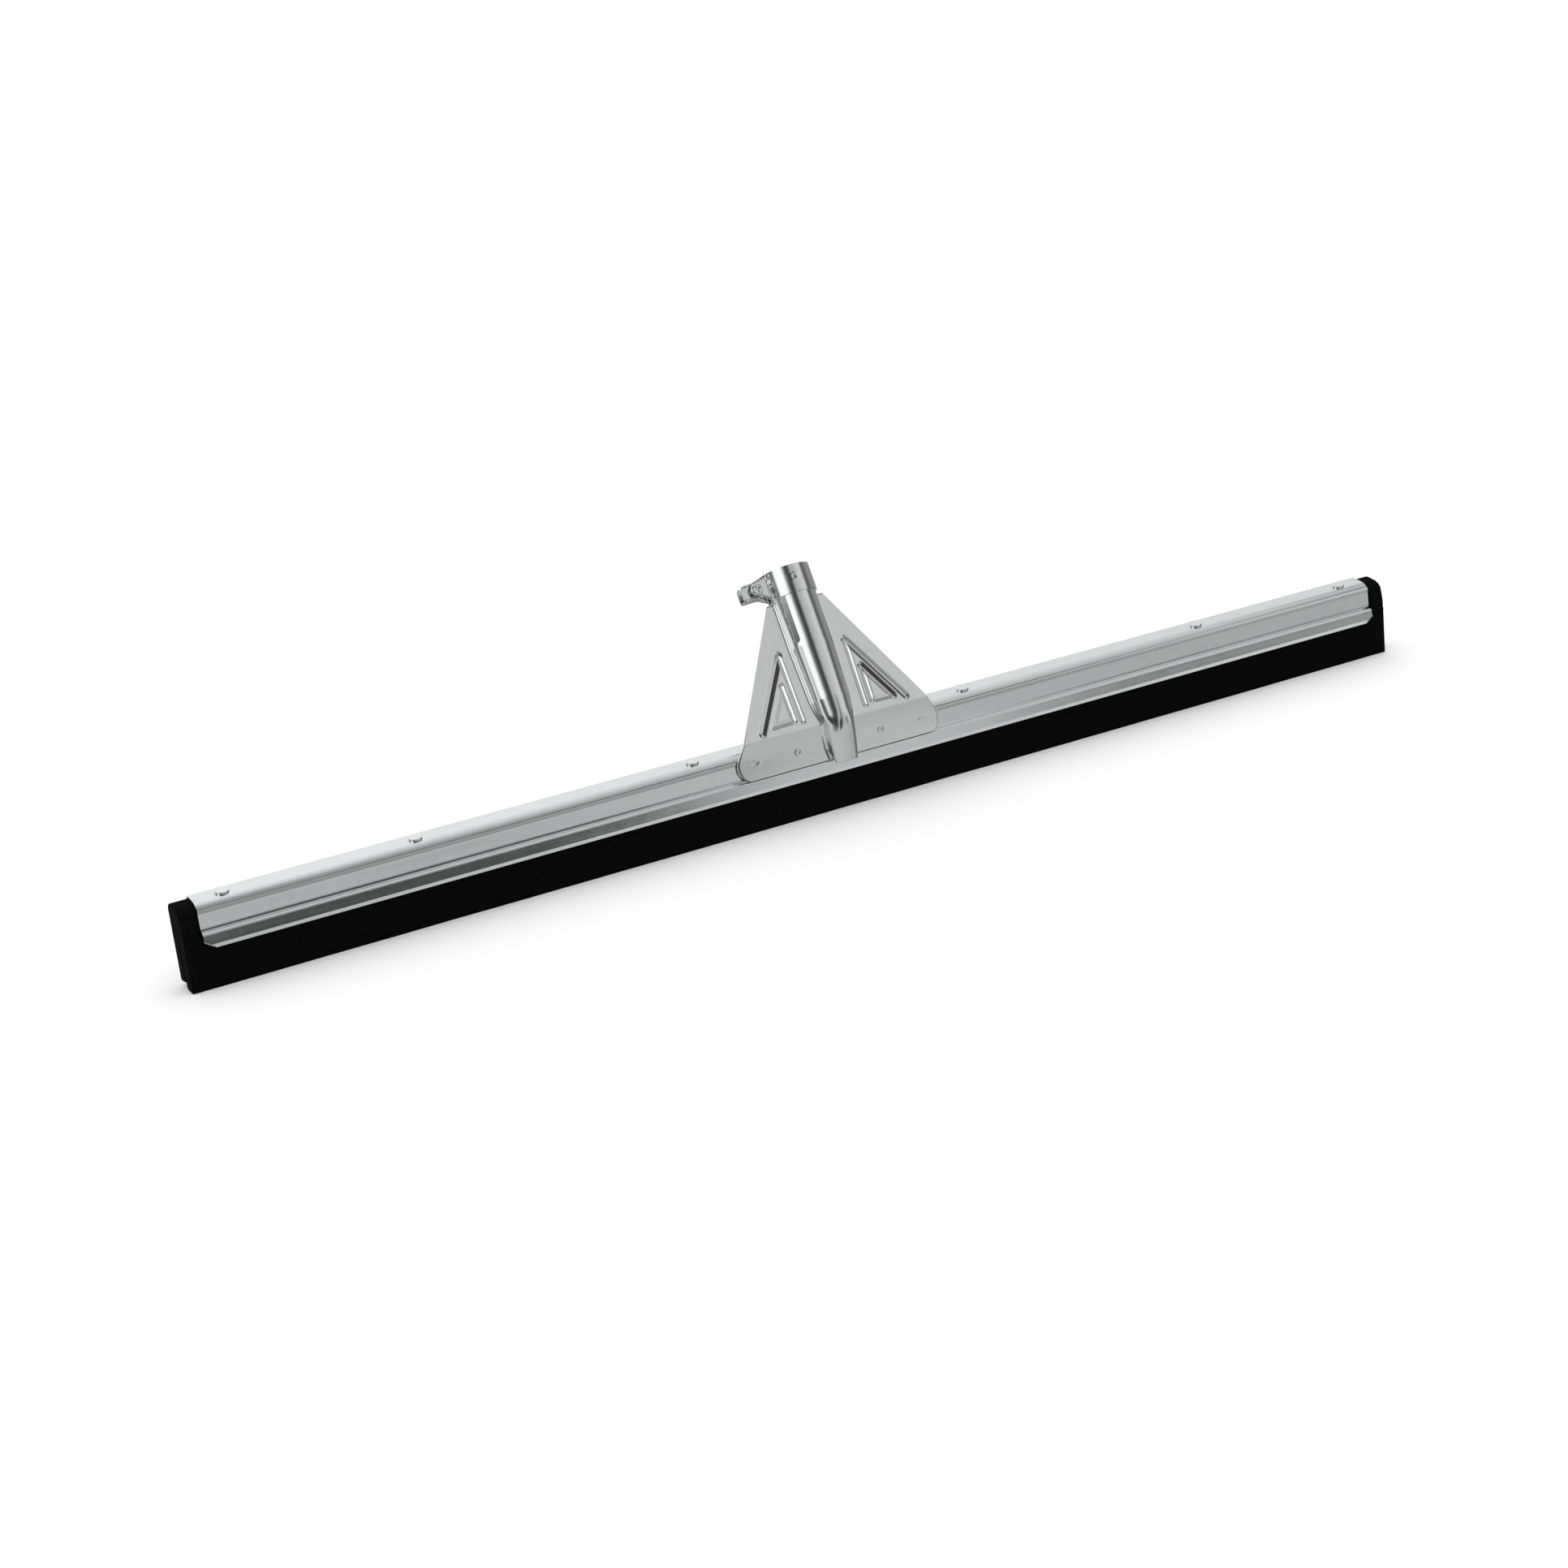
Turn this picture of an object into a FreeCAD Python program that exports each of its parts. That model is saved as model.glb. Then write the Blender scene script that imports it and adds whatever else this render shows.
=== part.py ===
import FreeCAD, Part
import math
import os

os.makedirs("parts", exist_ok=True)
V = FreeCAD.Vector

# Floor squeegee, 750 mm.  Millimetres.  X runs along the blade, Y points to the rear, Z is up.
# Origin: middle of the front lip's underside, where the blade meets the floor.
# The section is drawn from the channel's mid plane, and SECTION_Y puts it in that frame on export.

SECTION_Y = 6.6

# ---- blade ----
BLADE_L = 750.0
LIP_FRONT = -10.4            # front face of the front lip
LIP_REAR = 7.4               # rear face of the rear lip
SLIT_Y = -1.5                # slit between the two lips
SLIT_W = 0.5
REAR_LIP_Z = 3.4             # the rear lip stops this far above the floor
NECK_FRONT = -7.95           # rubber squeezed inside the channel
NECK_Z = 30.0

# ---- channel frame ----
FRAME_L = 730.0
SHEET = 0.8
WALL_FRONT = -8.9            # outer face of the front wall
WALL_REAR = 8.4              # outer face of the rear wall
CREASE_Z = 42.4              # front top corner
TOP_SLOPE = 9.0              # degrees, top face falls towards the front
LEDGE_TOP_Z = 31.2
LEDGE_LOW_Z = 28.7
LIP_Y = -11.5                # outer face of the hanging lip
LIP_LOW_Z = 21.4
LIP_FLARE = 0.8              # lean of the lip over its height
REAR_LOW_Z = 22.5
END_CHAMFER_X = 6.5
END_CHAMFER_Z = 4.0

# ---- rivets through the channel top, rubber and backing bar ----
RIVET_X = (-349.0, -245.0, -85.0, 85.0, 245.0, 349.0)
RIVET_Y = -0.8
HEAD_R = 3.8
HEAD_T = 1.25
SHANK_R = 2.0
HOLE_R = 2.1
FOLD_T = 8.9                 # rubber between channel top and bar
BAR_W = 6.4
BAR_T = 2.4
BAR_L = 724.0
WASHER_R = 3.0
WASHER_T = 0.8
CLINCH_R = 2.8
CLINCH_T = 1.4

# ---- handle bracket ----
TILT = 28.8                  # degrees the socket leans to the rear
PLATE_T = 1.0
BEND_Z = 49.6
PLATE_BACK = -8.9            # back face of the plate's upright foot
TUBE_R_IN = 12.0
TUBE_R = TUBE_R_IN + PLATE_T
THROAT = 1.3                 # the tube narrows by this much, which stops the handle
THROAT_S = 43.0
THROAT_LOW_S = 12.0
TUBE_TOP = 87.4              # measured up the slope from the bend
TUBE_FOOT = -14.0
COLLAR_LOW = 72.2
COLLAR_T = 0.9
COLLAR_GAP = 0.05
WING_TOP_S = 71.4
WING_TOP_X = 16.8
WING_BEND_X = 57.6
WING_EAR_X = 63.2
WING_EAR_Z = 38.6
WING_LOW_Z = 28.9
EAR_CORNER_R = 8.5
NECK_W = 8.9                 # half width of the upright neck below the tube
NECK_DEPTH = 9.8
NECK_LOW_Z = 31.3
GROOVE_W = 4.4
GROOVE_DEPTH = 1.5
SLOT_AZ = -52.0              # degrees round the tube from its front, minus is left
SLOT_W = 3.6
SLOT_LOW = 45.5
FLANGE_X = 15.8              # rear shell flanges
REAR_SHELL_LOW = 15.0
STRAP_X = 19.0               # welded strap behind the channel
STRAP_LOW_Z = 29.0
STRAP_TOP_X = 11.0
STRAP_TOP_Z = 66.0

# ---- clamp ----
EAR_END_X = -30.0
EAR_GAP = 5.0
EAR_END_LOW = 74.8
EAR_END_TOP = 83.8
EAR_WAIST_LOW = (-18.8, 75.4)     # where the ears' lower edge turns down to the band
EAR_WAIST_TOP = (-23.5, 84.2)
EAR_RIM = 1.1                     # height of the turned-out rims
SCREW_X = -22.0
SCREW_S = 79.8
SCREW_R = 2.0
SCREW_HOLE_R = 2.3
SCREW_HEAD_R = 3.6
SCREW_HEAD_T = 2.4
SCREW_L = 16.5
LOCK_R = 3.4
LOCK_T = 0.9
NUT_SIDE = 7.0
NUT_T = 3.2


def save(node, shape):
    if shape.ShapeType == "Compound" and len(shape.Solids) == 1:
        shape = shape.Solids[0]
    shape = shape.translated(V(0, SECTION_Y, 0))
    shape.exportStep("parts/" + node + ".step")


def unit(v):
    return V(v.x / v.Length, v.y / v.Length, v.z / v.Length)


def rounded_edges(points, radii, closed):
    """Lines through the points with an arc of the given radius at each corner."""
    count = len(points)
    corners = range(count) if closed else range(1, count - 1)
    start = dict()
    end = dict()
    arcs = dict()
    for i in corners:
        here = points[i]
        back = unit(points[i - 1].sub(here))
        ahead = unit(points[(i + 1) % count].sub(here))
        if radii[i] <= 0.0:
            continue
        half = back.getAngle(ahead) / 2.0
        cut = radii[i] / math.tan(half)
        a = here.add(back * cut)
        b = here.add(ahead * cut)
        middle = unit(back.add(ahead))
        centre = here.add(middle * (radii[i] / math.sin(half)))
        top = centre.sub(middle * radii[i])
        end[i] = a
        start[i] = b
        arcs[i] = Part.Arc(a, top, b).toShape()
    edges = []
    spans = range(count) if closed else range(count - 1)
    for i in spans:
        j = (i + 1) % count
        a = start.get(i, points[i])
        b = end.get(j, points[j])
        if a.distanceToPoint(b) > 1e-5:
            edges.append(Part.makeLine(a, b))
        if j in arcs:
            edges.append(arcs[j])
    return edges


def face_of(points, radii):
    return Part.Face(Part.Wire(Part.__sortEdges__(rounded_edges(points, radii, True))))


def yz(pairs, x=0.0):
    return [V(x, y, z) for y, z in pairs]


def offset_path(points, radii, shift):
    """The open path moved sideways in the YZ plane, arcs kept concentric."""
    moved = []
    new_radii = []
    last = len(points) - 1
    for i, p in enumerate(points):
        d0 = unit(p.sub(points[i - 1])) if i > 0 else unit(points[1].sub(p))
        d1 = unit(points[i + 1].sub(p)) if i < last else d0
        n0 = V(0, -d0.z, d0.y)
        n1 = V(0, -d1.z, d1.y)
        m = unit(n0.add(n1))
        moved.append(p.add(m * (shift / m.dot(n0))))
        turn = d0.y * d1.z - d0.z * d1.y
        side = -1.0 if turn > 0 else 1.0
        new_radii.append(max(radii[i] + side * shift, 0.0) if radii[i] > 0 else 0.0)
    return moved, new_radii


def sheet_section(pairs, radii, thickness):
    """Closed face of a bent sheet; the path runs along its mid line."""
    path = yz(pairs)
    left, left_r = offset_path(path, radii, thickness / 2.0)
    right, right_r = offset_path(path, radii, -thickness / 2.0)
    edges = rounded_edges(left, left_r, False) + rounded_edges(right, right_r, False)
    edges.append(Part.makeLine(left[0], right[0]))
    edges.append(Part.makeLine(left[-1], right[-1]))
    return Part.Face(Part.Wire(Part.__sortEdges__(edges)))


def along_x(face, length):
    solid = face.extrude(V(length, 0, 0))
    solid.translate(V(-length / 2.0, 0, 0))
    return solid


def box(x0, x1, y0, y1, z0, z1):
    return Part.makeBox(x1 - x0, y1 - y0, z1 - z0, V(x0, y0, z0))


def cylinder(radius, base, direction, length):
    return Part.makeCylinder(radius, length, base, direction)


def lean(shape):
    """From the socket's own upright frame (front face -Y, bend at Z = 0) to the squeegee frame."""
    turned = shape.copy()
    turned.rotate(V(0, 0, 0), V(1, 0, 0), -TILT)
    turned.translate(V(0, PLATE_BACK, BEND_Z))
    return turned


# ---------------------------------------------------------------- channel frame
slope = math.radians(TOP_SLOPE)
half = SHEET / 2.0
front_mid = WALL_FRONT + half
rear_mid = WALL_REAR - half
top_front_z = CREASE_Z + 1.2
top_rear_z = top_front_z + (rear_mid - front_mid - 0.5) * math.tan(slope)

channel_path = [
    (LIP_Y + half - LIP_FLARE - 0.5, LIP_LOW_Z + half),
    (LIP_Y + half - LIP_FLARE, LIP_LOW_Z + 2.2),
    (LIP_Y + half, LEDGE_LOW_Z),
    (front_mid, LEDGE_TOP_Z),
    (front_mid + 0.35, CREASE_Z - 2.6),
    (front_mid, CREASE_Z - 0.4),
    (front_mid + 0.5, top_front_z),
    (rear_mid, top_rear_z),
    (rear_mid, REAR_LOW_Z + 1.8),
    (rear_mid + 1.1, REAR_LOW_Z),
]
channel_bends = [0, 1.6, 0.8, 0.8, 1.0, 0.7, 2.2, 4.2, 1.0, 0]
channel = along_x(sheet_section(channel_path, channel_bends, SHEET), FRAME_L)

for side in (-1.0, 1.0):
    end = side * FRAME_L / 2.0
    corner = Part.makePolygon([
        V(end + side, -20, LIP_LOW_Z - 3.0),
        V(end - side * (END_CHAMFER_X + 2.0), -20, LIP_LOW_Z - 3.0),
        V(end - side * END_CHAMFER_X, -20, LIP_LOW_Z - 0.2),
        V(end, -20, LIP_LOW_Z + END_CHAMFER_Z),
        V(end + side, -20, LIP_LOW_Z + END_CHAMFER_Z),
        V(end + side, -20, LIP_LOW_Z - 3.0),
    ])
    channel = channel.cut(Part.Face(corner).extrude(V(0, 11.2, 0)))

# ---------------------------------------------------------------- rivet line, square to the sloping top
down = V(0, math.sin(slope), -math.cos(slope))
across = V(0, math.cos(slope), math.sin(slope))
top_z = top_front_z + half / math.cos(slope) + (RIVET_Y - front_mid - 0.5) * math.tan(slope)
under_head = V(0, RIVET_Y, top_z + 0.02)


def on_rivet(x, depth, shift=0.0):
    p = under_head.add(down * depth).add(across * shift)
    return V(x, p.y, p.z)


def slanted_box(length, width, depth0, depth1):
    corners = [
        on_rivet(-length / 2.0, depth0, -width / 2.0),
        on_rivet(-length / 2.0, depth0, width / 2.0),
        on_rivet(-length / 2.0, depth1, width / 2.0),
        on_rivet(-length / 2.0, depth1, -width / 2.0),
    ]
    return Part.Face(Part.makePolygon(corners + corners[:1])).extrude(V(length, 0, 0))


bar_depth = SHEET + FOLD_T + 0.1
washer_depth = bar_depth + BAR_T
clinch_depth = washer_depth + WASHER_T
cavity_depth = clinch_depth + CLINCH_T + 0.4

bar = slanted_box(BAR_L, BAR_W, bar_depth, washer_depth)
bar = bar.makeFillet(0.6, [e for e in bar.Edges if e.Length > BAR_L - 1.0])

# ---------------------------------------------------------------- moss rubber blade, folded into two lips
rubber_front = front_mid + half + 0.06
rubber_rear = rear_mid - half - 0.06
top_in_front = top_front_z - half / math.cos(slope) - 0.12
top_in_rear = top_in_front + (rubber_rear - front_mid - 0.5) * math.tan(slope)
blade_outline = [
    (LIP_FRONT, 0.0),
    (LIP_FRONT, LEDGE_LOW_Z - 1.6),
    (NECK_FRONT + 0.1, NECK_Z),
    (NECK_FRONT + 0.55, CREASE_Z - 3.0),
    (NECK_FRONT + 0.7, top_in_front),
    (rubber_rear, top_in_rear),
    (rubber_rear, REAR_LOW_Z + 4.0),
    (LIP_REAR, REAR_LOW_Z - 2.0),
    (LIP_REAR, REAR_LIP_Z - 0.4),
    (LIP_REAR - 1.8, REAR_LIP_Z - 1.0),
    (SLIT_Y + SLIT_W / 2.0, REAR_LIP_Z),
    (SLIT_Y + SLIT_W / 2.0, 24.0),
    (SLIT_Y - SLIT_W / 2.0, 24.0),
    (SLIT_Y - SLIT_W / 2.0, 0.9),
    (SLIT_Y - 1.3, 0.0),
]
blade_rounds = [0.4, 2.0, 1.0, 1.0, 2.6, 4.6, 2.0, 1.5, 0.5, 0.6, 0.3, 0.0, 0.0, 0.5, 0.4]
blade = along_x(face_of(yz(blade_outline), blade_rounds), BLADE_L)
pocket = slanted_box(BLADE_L, BAR_W + 0.4, bar_depth - 0.1, cavity_depth)
mouth = face_of(yz([
    (SLIT_Y - SLIT_W / 2.0, 23.9),
    (SLIT_Y + SLIT_W / 2.0, 23.9),
    (SLIT_Y + 3.2, 30.0),
    (SLIT_Y + 3.2, 32.0),
    (SLIT_Y - 0.4, 32.0),
    (SLIT_Y - 0.4, 30.0),
]), [0] * 6)
blade = blade.cut(pocket.fuse(along_x(mouth, BLADE_L)))

# ---------------------------------------------------------------- rivets and washers
for number, x in enumerate(RIVET_X, start=1):
    hole = cylinder(HOLE_R, on_rivet(x, -1.0), down, cavity_depth + 1.0)
    channel = channel.cut(hole)
    blade = blade.cut(hole)
    bar = bar.cut(hole)
    head = cylinder(HEAD_R, on_rivet(x, 0.0), down * -1.0, HEAD_T)
    rim = [e for e in head.Edges if e.Length > 20.0 and e.CenterOfMass.z > on_rivet(x, 0.0).z + 0.5]
    head = head.makeFillet(0.3, rim)
    shank = cylinder(SHANK_R, on_rivet(x, -0.3), down, clinch_depth + 0.4)
    tail = cylinder(CLINCH_R, on_rivet(x, clinch_depth), down, CLINCH_T)
    save("rivet_%d" % number, head.fuse(shank).fuse(tail).removeSplitter())
    ring = cylinder(WASHER_R, on_rivet(x, washer_depth), down, WASHER_T)
    save("rivet_washer_%d" % number, ring.cut(hole))

save("frame_channel", channel)
save("moss_rubber_blade", blade)
save("backing_bar", bar)

# ---------------------------------------------------------------- bracket front plate
tilt = math.radians(TILT)
reach = 100.0
mid = PLATE_BACK - PLATE_T / 2.0
bend_mid_z = BEND_Z + PLATE_T / 2.0 * math.tan(tilt / 2.0)
plate_path = [
    (LIP_Y - 0.6, WING_LOW_Z + 0.8),
    (mid, WING_LOW_Z + 3.2),
    (mid, bend_mid_z),
    (mid + reach * math.sin(tilt), bend_mid_z + reach * math.cos(tilt)),
]
plate = along_x(sheet_section(plate_path, [0, 1.2, 4.0, 0], PLATE_T), 140.0)


def wing_z(s):
    return BEND_Z + s * math.cos(tilt)


right_side = [
    (WING_TOP_X, wing_z(WING_TOP_S)),
    (WING_BEND_X, BEND_Z),
    (WING_EAR_X, WING_EAR_Z + 1.0),
    (WING_EAR_X - 0.3, WING_LOW_Z + 0.3),
]
outline = right_side + [(-x, z) for x, z in reversed(right_side)]
outline_r = [1.5, 12.0, 6.0, EAR_CORNER_R, EAR_CORNER_R, 6.0, 12.0, 1.5]
silhouette = face_of([V(x, -40, z) for x, z in outline], outline_r).extrude(V(0, 120, 0))
tube_strip = box(-TUBE_R, TUBE_R, -40, 80, wing_z(WING_TOP_S) - 4.0, wing_z(TUBE_TOP) + 20.0)
plate = plate.common(silhouette.fuse(tube_strip))


def half_tube(radius, low, high, front):
    """Half of the throated tube in the socket's own frame, before or behind the joint face."""
    narrow = radius - THROAT
    full = cylinder(radius, V(0, 0, THROAT_S), V(0, 0, 1), high - THROAT_S)
    full = full.fuse(Part.makeCone(narrow, radius, THROAT_S - THROAT_LOW_S, V(0, 0, THROAT_LOW_S)))
    full = full.fuse(cylinder(narrow, V(0, 0, TUBE_FOOT), V(0, 0, 1), THROAT_LOW_S - TUBE_FOOT))
    keep = box(-30, 30, -30, 0, low, high) if front else box(-30, 30, 0, 30, low, high)
    return full.common(keep)


def neck_block(half_width, depth, low, high, corner):
    front = PLATE_BACK - depth
    pts = [
        V(-half_width, PLATE_BACK, low),
        V(-half_width + 0.8, front, low),
        V(half_width - 0.8, front, low),
        V(half_width, PLATE_BACK, low),
    ]
    return face_of(pts, [0, corner, corner, 0]).extrude(V(0, 0, high - low))


def pressing(radius, half_width, depth, low, corner):
    """Leaning half tube running into the upright neck; called for the outside and the inside."""
    tube = lean(half_tube(radius, TUBE_FOOT, TUBE_TOP + 5.0, True))
    front = PLATE_BACK - depth
    wide = radius - THROAT
    funnel = Part.Face(Part.makePolygon([
        V(-wide, 0, BEND_Z + 11.0),
        V(-half_width, 0, BEND_Z - 1.0),
        V(-half_width, 0, BEND_Z - 6.0),
        V(half_width, 0, BEND_Z - 6.0),
        V(half_width, 0, BEND_Z - 1.0),
        V(wide, 0, BEND_Z + 11.0),
        V(wide + 4.0, 0, BEND_Z + 14.0),
        V(wide + 4.0, 0, BEND_Z + 120.0),
        V(-wide - 4.0, 0, BEND_Z + 120.0),
        V(-wide - 4.0, 0, BEND_Z + 14.0),
        V(-wide, 0, BEND_Z + 11.0),
    ])).extrude(V(0, 120, 0))
    funnel.translate(V(0, front, 0))
    neck = neck_block(half_width, depth, low, BEND_Z + 4.0, corner)
    return tube.common(funnel).fuse(neck)


outer = pressing(TUBE_R, NECK_W, NECK_DEPTH, NECK_LOW_Z, 3.2)
inner = pressing(TUBE_R_IN, NECK_W - PLATE_T, NECK_DEPTH - PLATE_T, NECK_LOW_Z - 6.0, 2.2)
top_cut = lean(box(-40, 40, -40, 40, TUBE_TOP, TUBE_TOP + 60.0))
front_plate = plate.fuse(outer).cut(inner).cut(top_cut)
foot_relief = box(-NECK_W + PLATE_T, NECK_W - PLATE_T, -30, 0, WING_LOW_Z - 5.0, NECK_LOW_Z + 0.5)
front_plate = front_plate.cut(foot_relief)


def stadium(x0, s0, x1, s1, width, y0, y1):
    """Straight groove with round ends between two points on the leaning plate."""
    length = math.hypot(x1 - x0, s1 - s0)
    bar_body = box(0, length, y0, y1, -width / 2.0, width / 2.0)
    ends = cylinder(width / 2.0, V(0, y0, 0), V(0, 1, 0), y1 - y0)
    far = cylinder(width / 2.0, V(length, y0, 0), V(0, 1, 0), y1 - y0)
    body = bar_body.fuse(ends).fuse(far)
    body.rotate(V(0, 0, 0), V(0, 1, 0), -math.degrees(math.atan2(s1 - s0, x1 - x0)))
    body.translate(V(x0, 0, s0))
    return body


OUTER_APEX = (20.6, 42.6)
OUTER_FOOT = (44.9, 3.4)
OUTER_HEEL = (19.6, 4.6)
INNER_APEX = (25.0, 26.0)
INNER_FOOT = (37.6, 5.6)
INNER_HEEL = (24.4, 6.0)
groove_legs = [
    OUTER_APEX + OUTER_FOOT,
    OUTER_APEX + OUTER_HEEL,
    INNER_APEX + INNER_FOOT,
    INNER_APEX + INNER_HEEL,
    INNER_FOOT + INNER_HEEL,
]
for side in (-1.0, 1.0):
    for x0, s0, x1, s1 in groove_legs:
        thin = 0.8 if (x0, s0) != OUTER_APEX else 1.0
        wide = GROOVE_W * thin
        ridge = stadium(side * x0, s0, side * x1, s1, wide, -0.5, GROOVE_DEPTH)
        front_plate = front_plate.fuse(lean(ridge))
for side in (-1.0, 1.0):
    for x0, s0, x1, s1 in groove_legs:
        thin = 0.8 if (x0, s0) != OUTER_APEX else 1.0
        wide = GROOVE_W * thin - 1.4
        press = stadium(side * x0, s0, side * x1, s1, wide, -PLATE_T - 1.0, GROOVE_DEPTH - PLATE_T)
        front_plate = front_plate.cut(lean(press))

slot = box(-SLOT_W / 2.0, SLOT_W / 2.0, -TUBE_R - 4.0, -TUBE_R_IN + 3.0, SLOT_LOW + SLOT_W / 2.0, TUBE_TOP + 1.0)
slot_end = cylinder(SLOT_W / 2.0, V(0, -TUBE_R - 4.0, SLOT_LOW + SLOT_W / 2.0), V(0, 1, 0), 8.0)
slot = slot.fuse(slot_end)
slot.rotate(V(0, 0, 0), V(0, 0, 1), SLOT_AZ)
front_plate = front_plate.cut(lean(slot))

WELD_X = (-52.0, -26.0, 26.0, 52.0)
for x in WELD_X:
    dimple = cylinder(1.0, V(x, mid - PLATE_T, 38.4), V(0, 1, 0), PLATE_T / 2.0 + 0.35)
    front_plate = front_plate.cut(dimple)
save("socket_front_plate", front_plate.removeSplitter())

# ---------------------------------------------------------------- rear half shell of the socket
flange_points = [
    V(-FLANGE_X, 0, REAR_SHELL_LOW),
    V(FLANGE_X, 0, REAR_SHELL_LOW),
    V(FLANGE_X, 0, COLLAR_LOW - 1.2),
    V(-FLANGE_X, 0, COLLAR_LOW - 1.2),
]
flange = face_of(flange_points, [2.0, 2.0, 2.0, 2.0]).extrude(V(0, PLATE_T, 0))
rear_out = half_tube(TUBE_R, REAR_SHELL_LOW, TUBE_TOP, False)
rear_in = half_tube(TUBE_R_IN, REAR_SHELL_LOW - 1.0, TUBE_TOP + 1.0, False)
rear_solid = lean(flange.fuse(rear_out))
save("socket_rear_shell", rear_solid.cut(lean(rear_in)).removeSplitter())

# ---------------------------------------------------------------- strap from the socket down the channel's back
strap_pts = [
    V(-STRAP_X, WALL_REAR, STRAP_LOW_Z),
    V(STRAP_X, WALL_REAR, STRAP_LOW_Z),
    V(STRAP_X, WALL_REAR, 52.0),
    V(STRAP_TOP_X, WALL_REAR, STRAP_TOP_Z),
    V(-STRAP_TOP_X, WALL_REAR, STRAP_TOP_Z),
    V(-STRAP_X, WALL_REAR, 52.0),
]
strap = face_of(strap_pts, [5.0, 5.0, 4.0, 3.0, 3.0, 4.0]).extrude(V(0, PLATE_T, 0))
behind_plane = lean(box(-40, 40, 0, 80, -60, 120))
strap = strap.common(behind_plane).cut(rear_solid).cut(lean(rear_in))
save("rear_strap", strap.removeSplitter())

# ---------------------------------------------------------------- clamp collar
band_in = TUBE_R + COLLAR_GAP
band_out = band_in + COLLAR_T
collar = cylinder(band_out, V(0, 0, COLLAR_LOW), V(0, 0, 1), TUBE_TOP - COLLAR_LOW)
ear_half = EAR_GAP / 2.0
for front in (-1.0, 1.0):
    y_in = front * ear_half
    y_out = front * (ear_half + COLLAR_T)
    y0 = min(y_in, y_out)
    root_x = -band_out + 0.6
    low_edge = [(root_x, COLLAR_LOW), EAR_WAIST_LOW, (EAR_END_X, EAR_END_LOW)]
    top_edge = [(root_x, TUBE_TOP), EAR_WAIST_TOP, (EAR_END_X, EAR_END_TOP)]
    ring = [(-8.0, COLLAR_LOW)] + low_edge + top_edge[::-1] + [(-8.0, TUBE_TOP)]
    pts = [V(x, y0, s) for x, s in ring]
    ear = face_of(pts, [0, 0.6, 3.0, 1.6, 1.6, 6.0, 0.6, 0]).extrude(V(0, COLLAR_T, 0))
    collar = collar.fuse(ear)
    for edge, inward in ((low_edge, 0.5), (top_edge, -0.5)):
        (x0, s0), (x1, s1), (x2, s2) = edge
        rim_pts = [
            V(x0 + (x1 - x0) * 0.35, y0, s0 + (s1 - s0) * 0.35),
            V(x1, y0, s1),
            V(x2 + 1.2, y0, s2),
            V(x2 + 1.2, y0, s2 + inward),
            V(x1, y0, s1 + inward),
            V(x0 + (x1 - x0) * 0.35, y0, s0 + (s1 - s0) * 0.35 + inward),
        ]
        rim_wall = face_of(rim_pts, [0] * 6).extrude(V(0, COLLAR_T + EAR_RIM, 0))
        if front < 0:
            rim_wall.translate(V(0, -EAR_RIM, 0))
        collar = collar.fuse(rim_wall)
collar = collar.cut(cylinder(band_in, V(0, 0, COLLAR_LOW - 1.0), V(0, 0, 1), 40.0))
collar = collar.cut(box(-40, 0, -ear_half, ear_half, COLLAR_LOW - 1.0, TUBE_TOP + 1.0))
hole = cylinder(SCREW_HOLE_R, V(SCREW_X, -20, SCREW_S), V(0, 1, 0), 40.0)
collar = collar.cut(hole)
save("clamp_collar", lean(collar.removeSplitter()))

# ---------------------------------------------------------------- clamp screw, lock washer and square nut
ear_face = -(ear_half + COLLAR_T)
axis_at = V(SCREW_X, 0, SCREW_S)
out = V(0, -1, 0)

lock = cylinder(LOCK_R, V(SCREW_X, ear_face - 0.02, SCREW_S), out, LOCK_T)
lock = lock.cut(cylinder(SCREW_R + 0.05, V(SCREW_X, ear_face + 1.0, SCREW_S), out, 4.0))
split = box(0, LOCK_R + 1.0, -0.25, 0.25, -1.0, LOCK_T + 1.0)
split.rotate(V(0, 0, 0), V(1, 0, 0), 90)
split.translate(V(SCREW_X, ear_face, SCREW_S))
save("clamp_lock_washer", lean(lock.cut(split)))

seat = ear_face - 0.02 - LOCK_T - 0.02
head = cylinder(SCREW_HEAD_R, V(SCREW_X, seat, SCREW_S), out, SCREW_HEAD_T)
crown = [e for e in head.Edges if e.CenterOfMass.y < seat - SCREW_HEAD_T + 0.1 and e.Length > 15.0]
head = head.makeFillet(1.3, crown)
for turn in (0.0, 90.0):
    blade_cut = box(-2.3, 2.3, -0.45, 0.45, -1.6, 1.0)
    blade_cut.rotate(V(0, 0, 0), V(0, 0, 1), turn + 20.0)
    blade_cut.rotate(V(0, 0, 0), V(1, 0, 0), 90)
    blade_cut.translate(V(SCREW_X, seat - SCREW_HEAD_T, SCREW_S))
    head = head.cut(blade_cut)
thread = cylinder(SCREW_R, V(SCREW_X, seat - 0.5, SCREW_S), out * -1.0, SCREW_L + 0.5)
tip = [e for e in thread.Edges if e.CenterOfMass.y > seat + SCREW_L - 0.1]
thread = thread.makeChamfer(0.5, tip)
save("clamp_screw", lean(head.fuse(thread).removeSplitter()))

nut_face = ear_half + COLLAR_T
nut = box(-NUT_SIDE / 2.0, NUT_SIDE / 2.0, 0, NUT_T, -NUT_SIDE / 2.0, NUT_SIDE / 2.0)
nut = nut.makeFillet(0.5, [e for e in nut.Edges if abs(e.Length - NUT_T) < 0.01])
nut.translate(V(SCREW_X, nut_face + 0.02, SCREW_S))
bore = cylinder(SCREW_R + 0.05, V(SCREW_X, 0, SCREW_S), V(0, 1, 0), 30.0)
save("clamp_square_nut", lean(nut.cut(bore)))
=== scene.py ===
import math

import bpy
import numpy as np
from mathutils import Matrix, Vector


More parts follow.
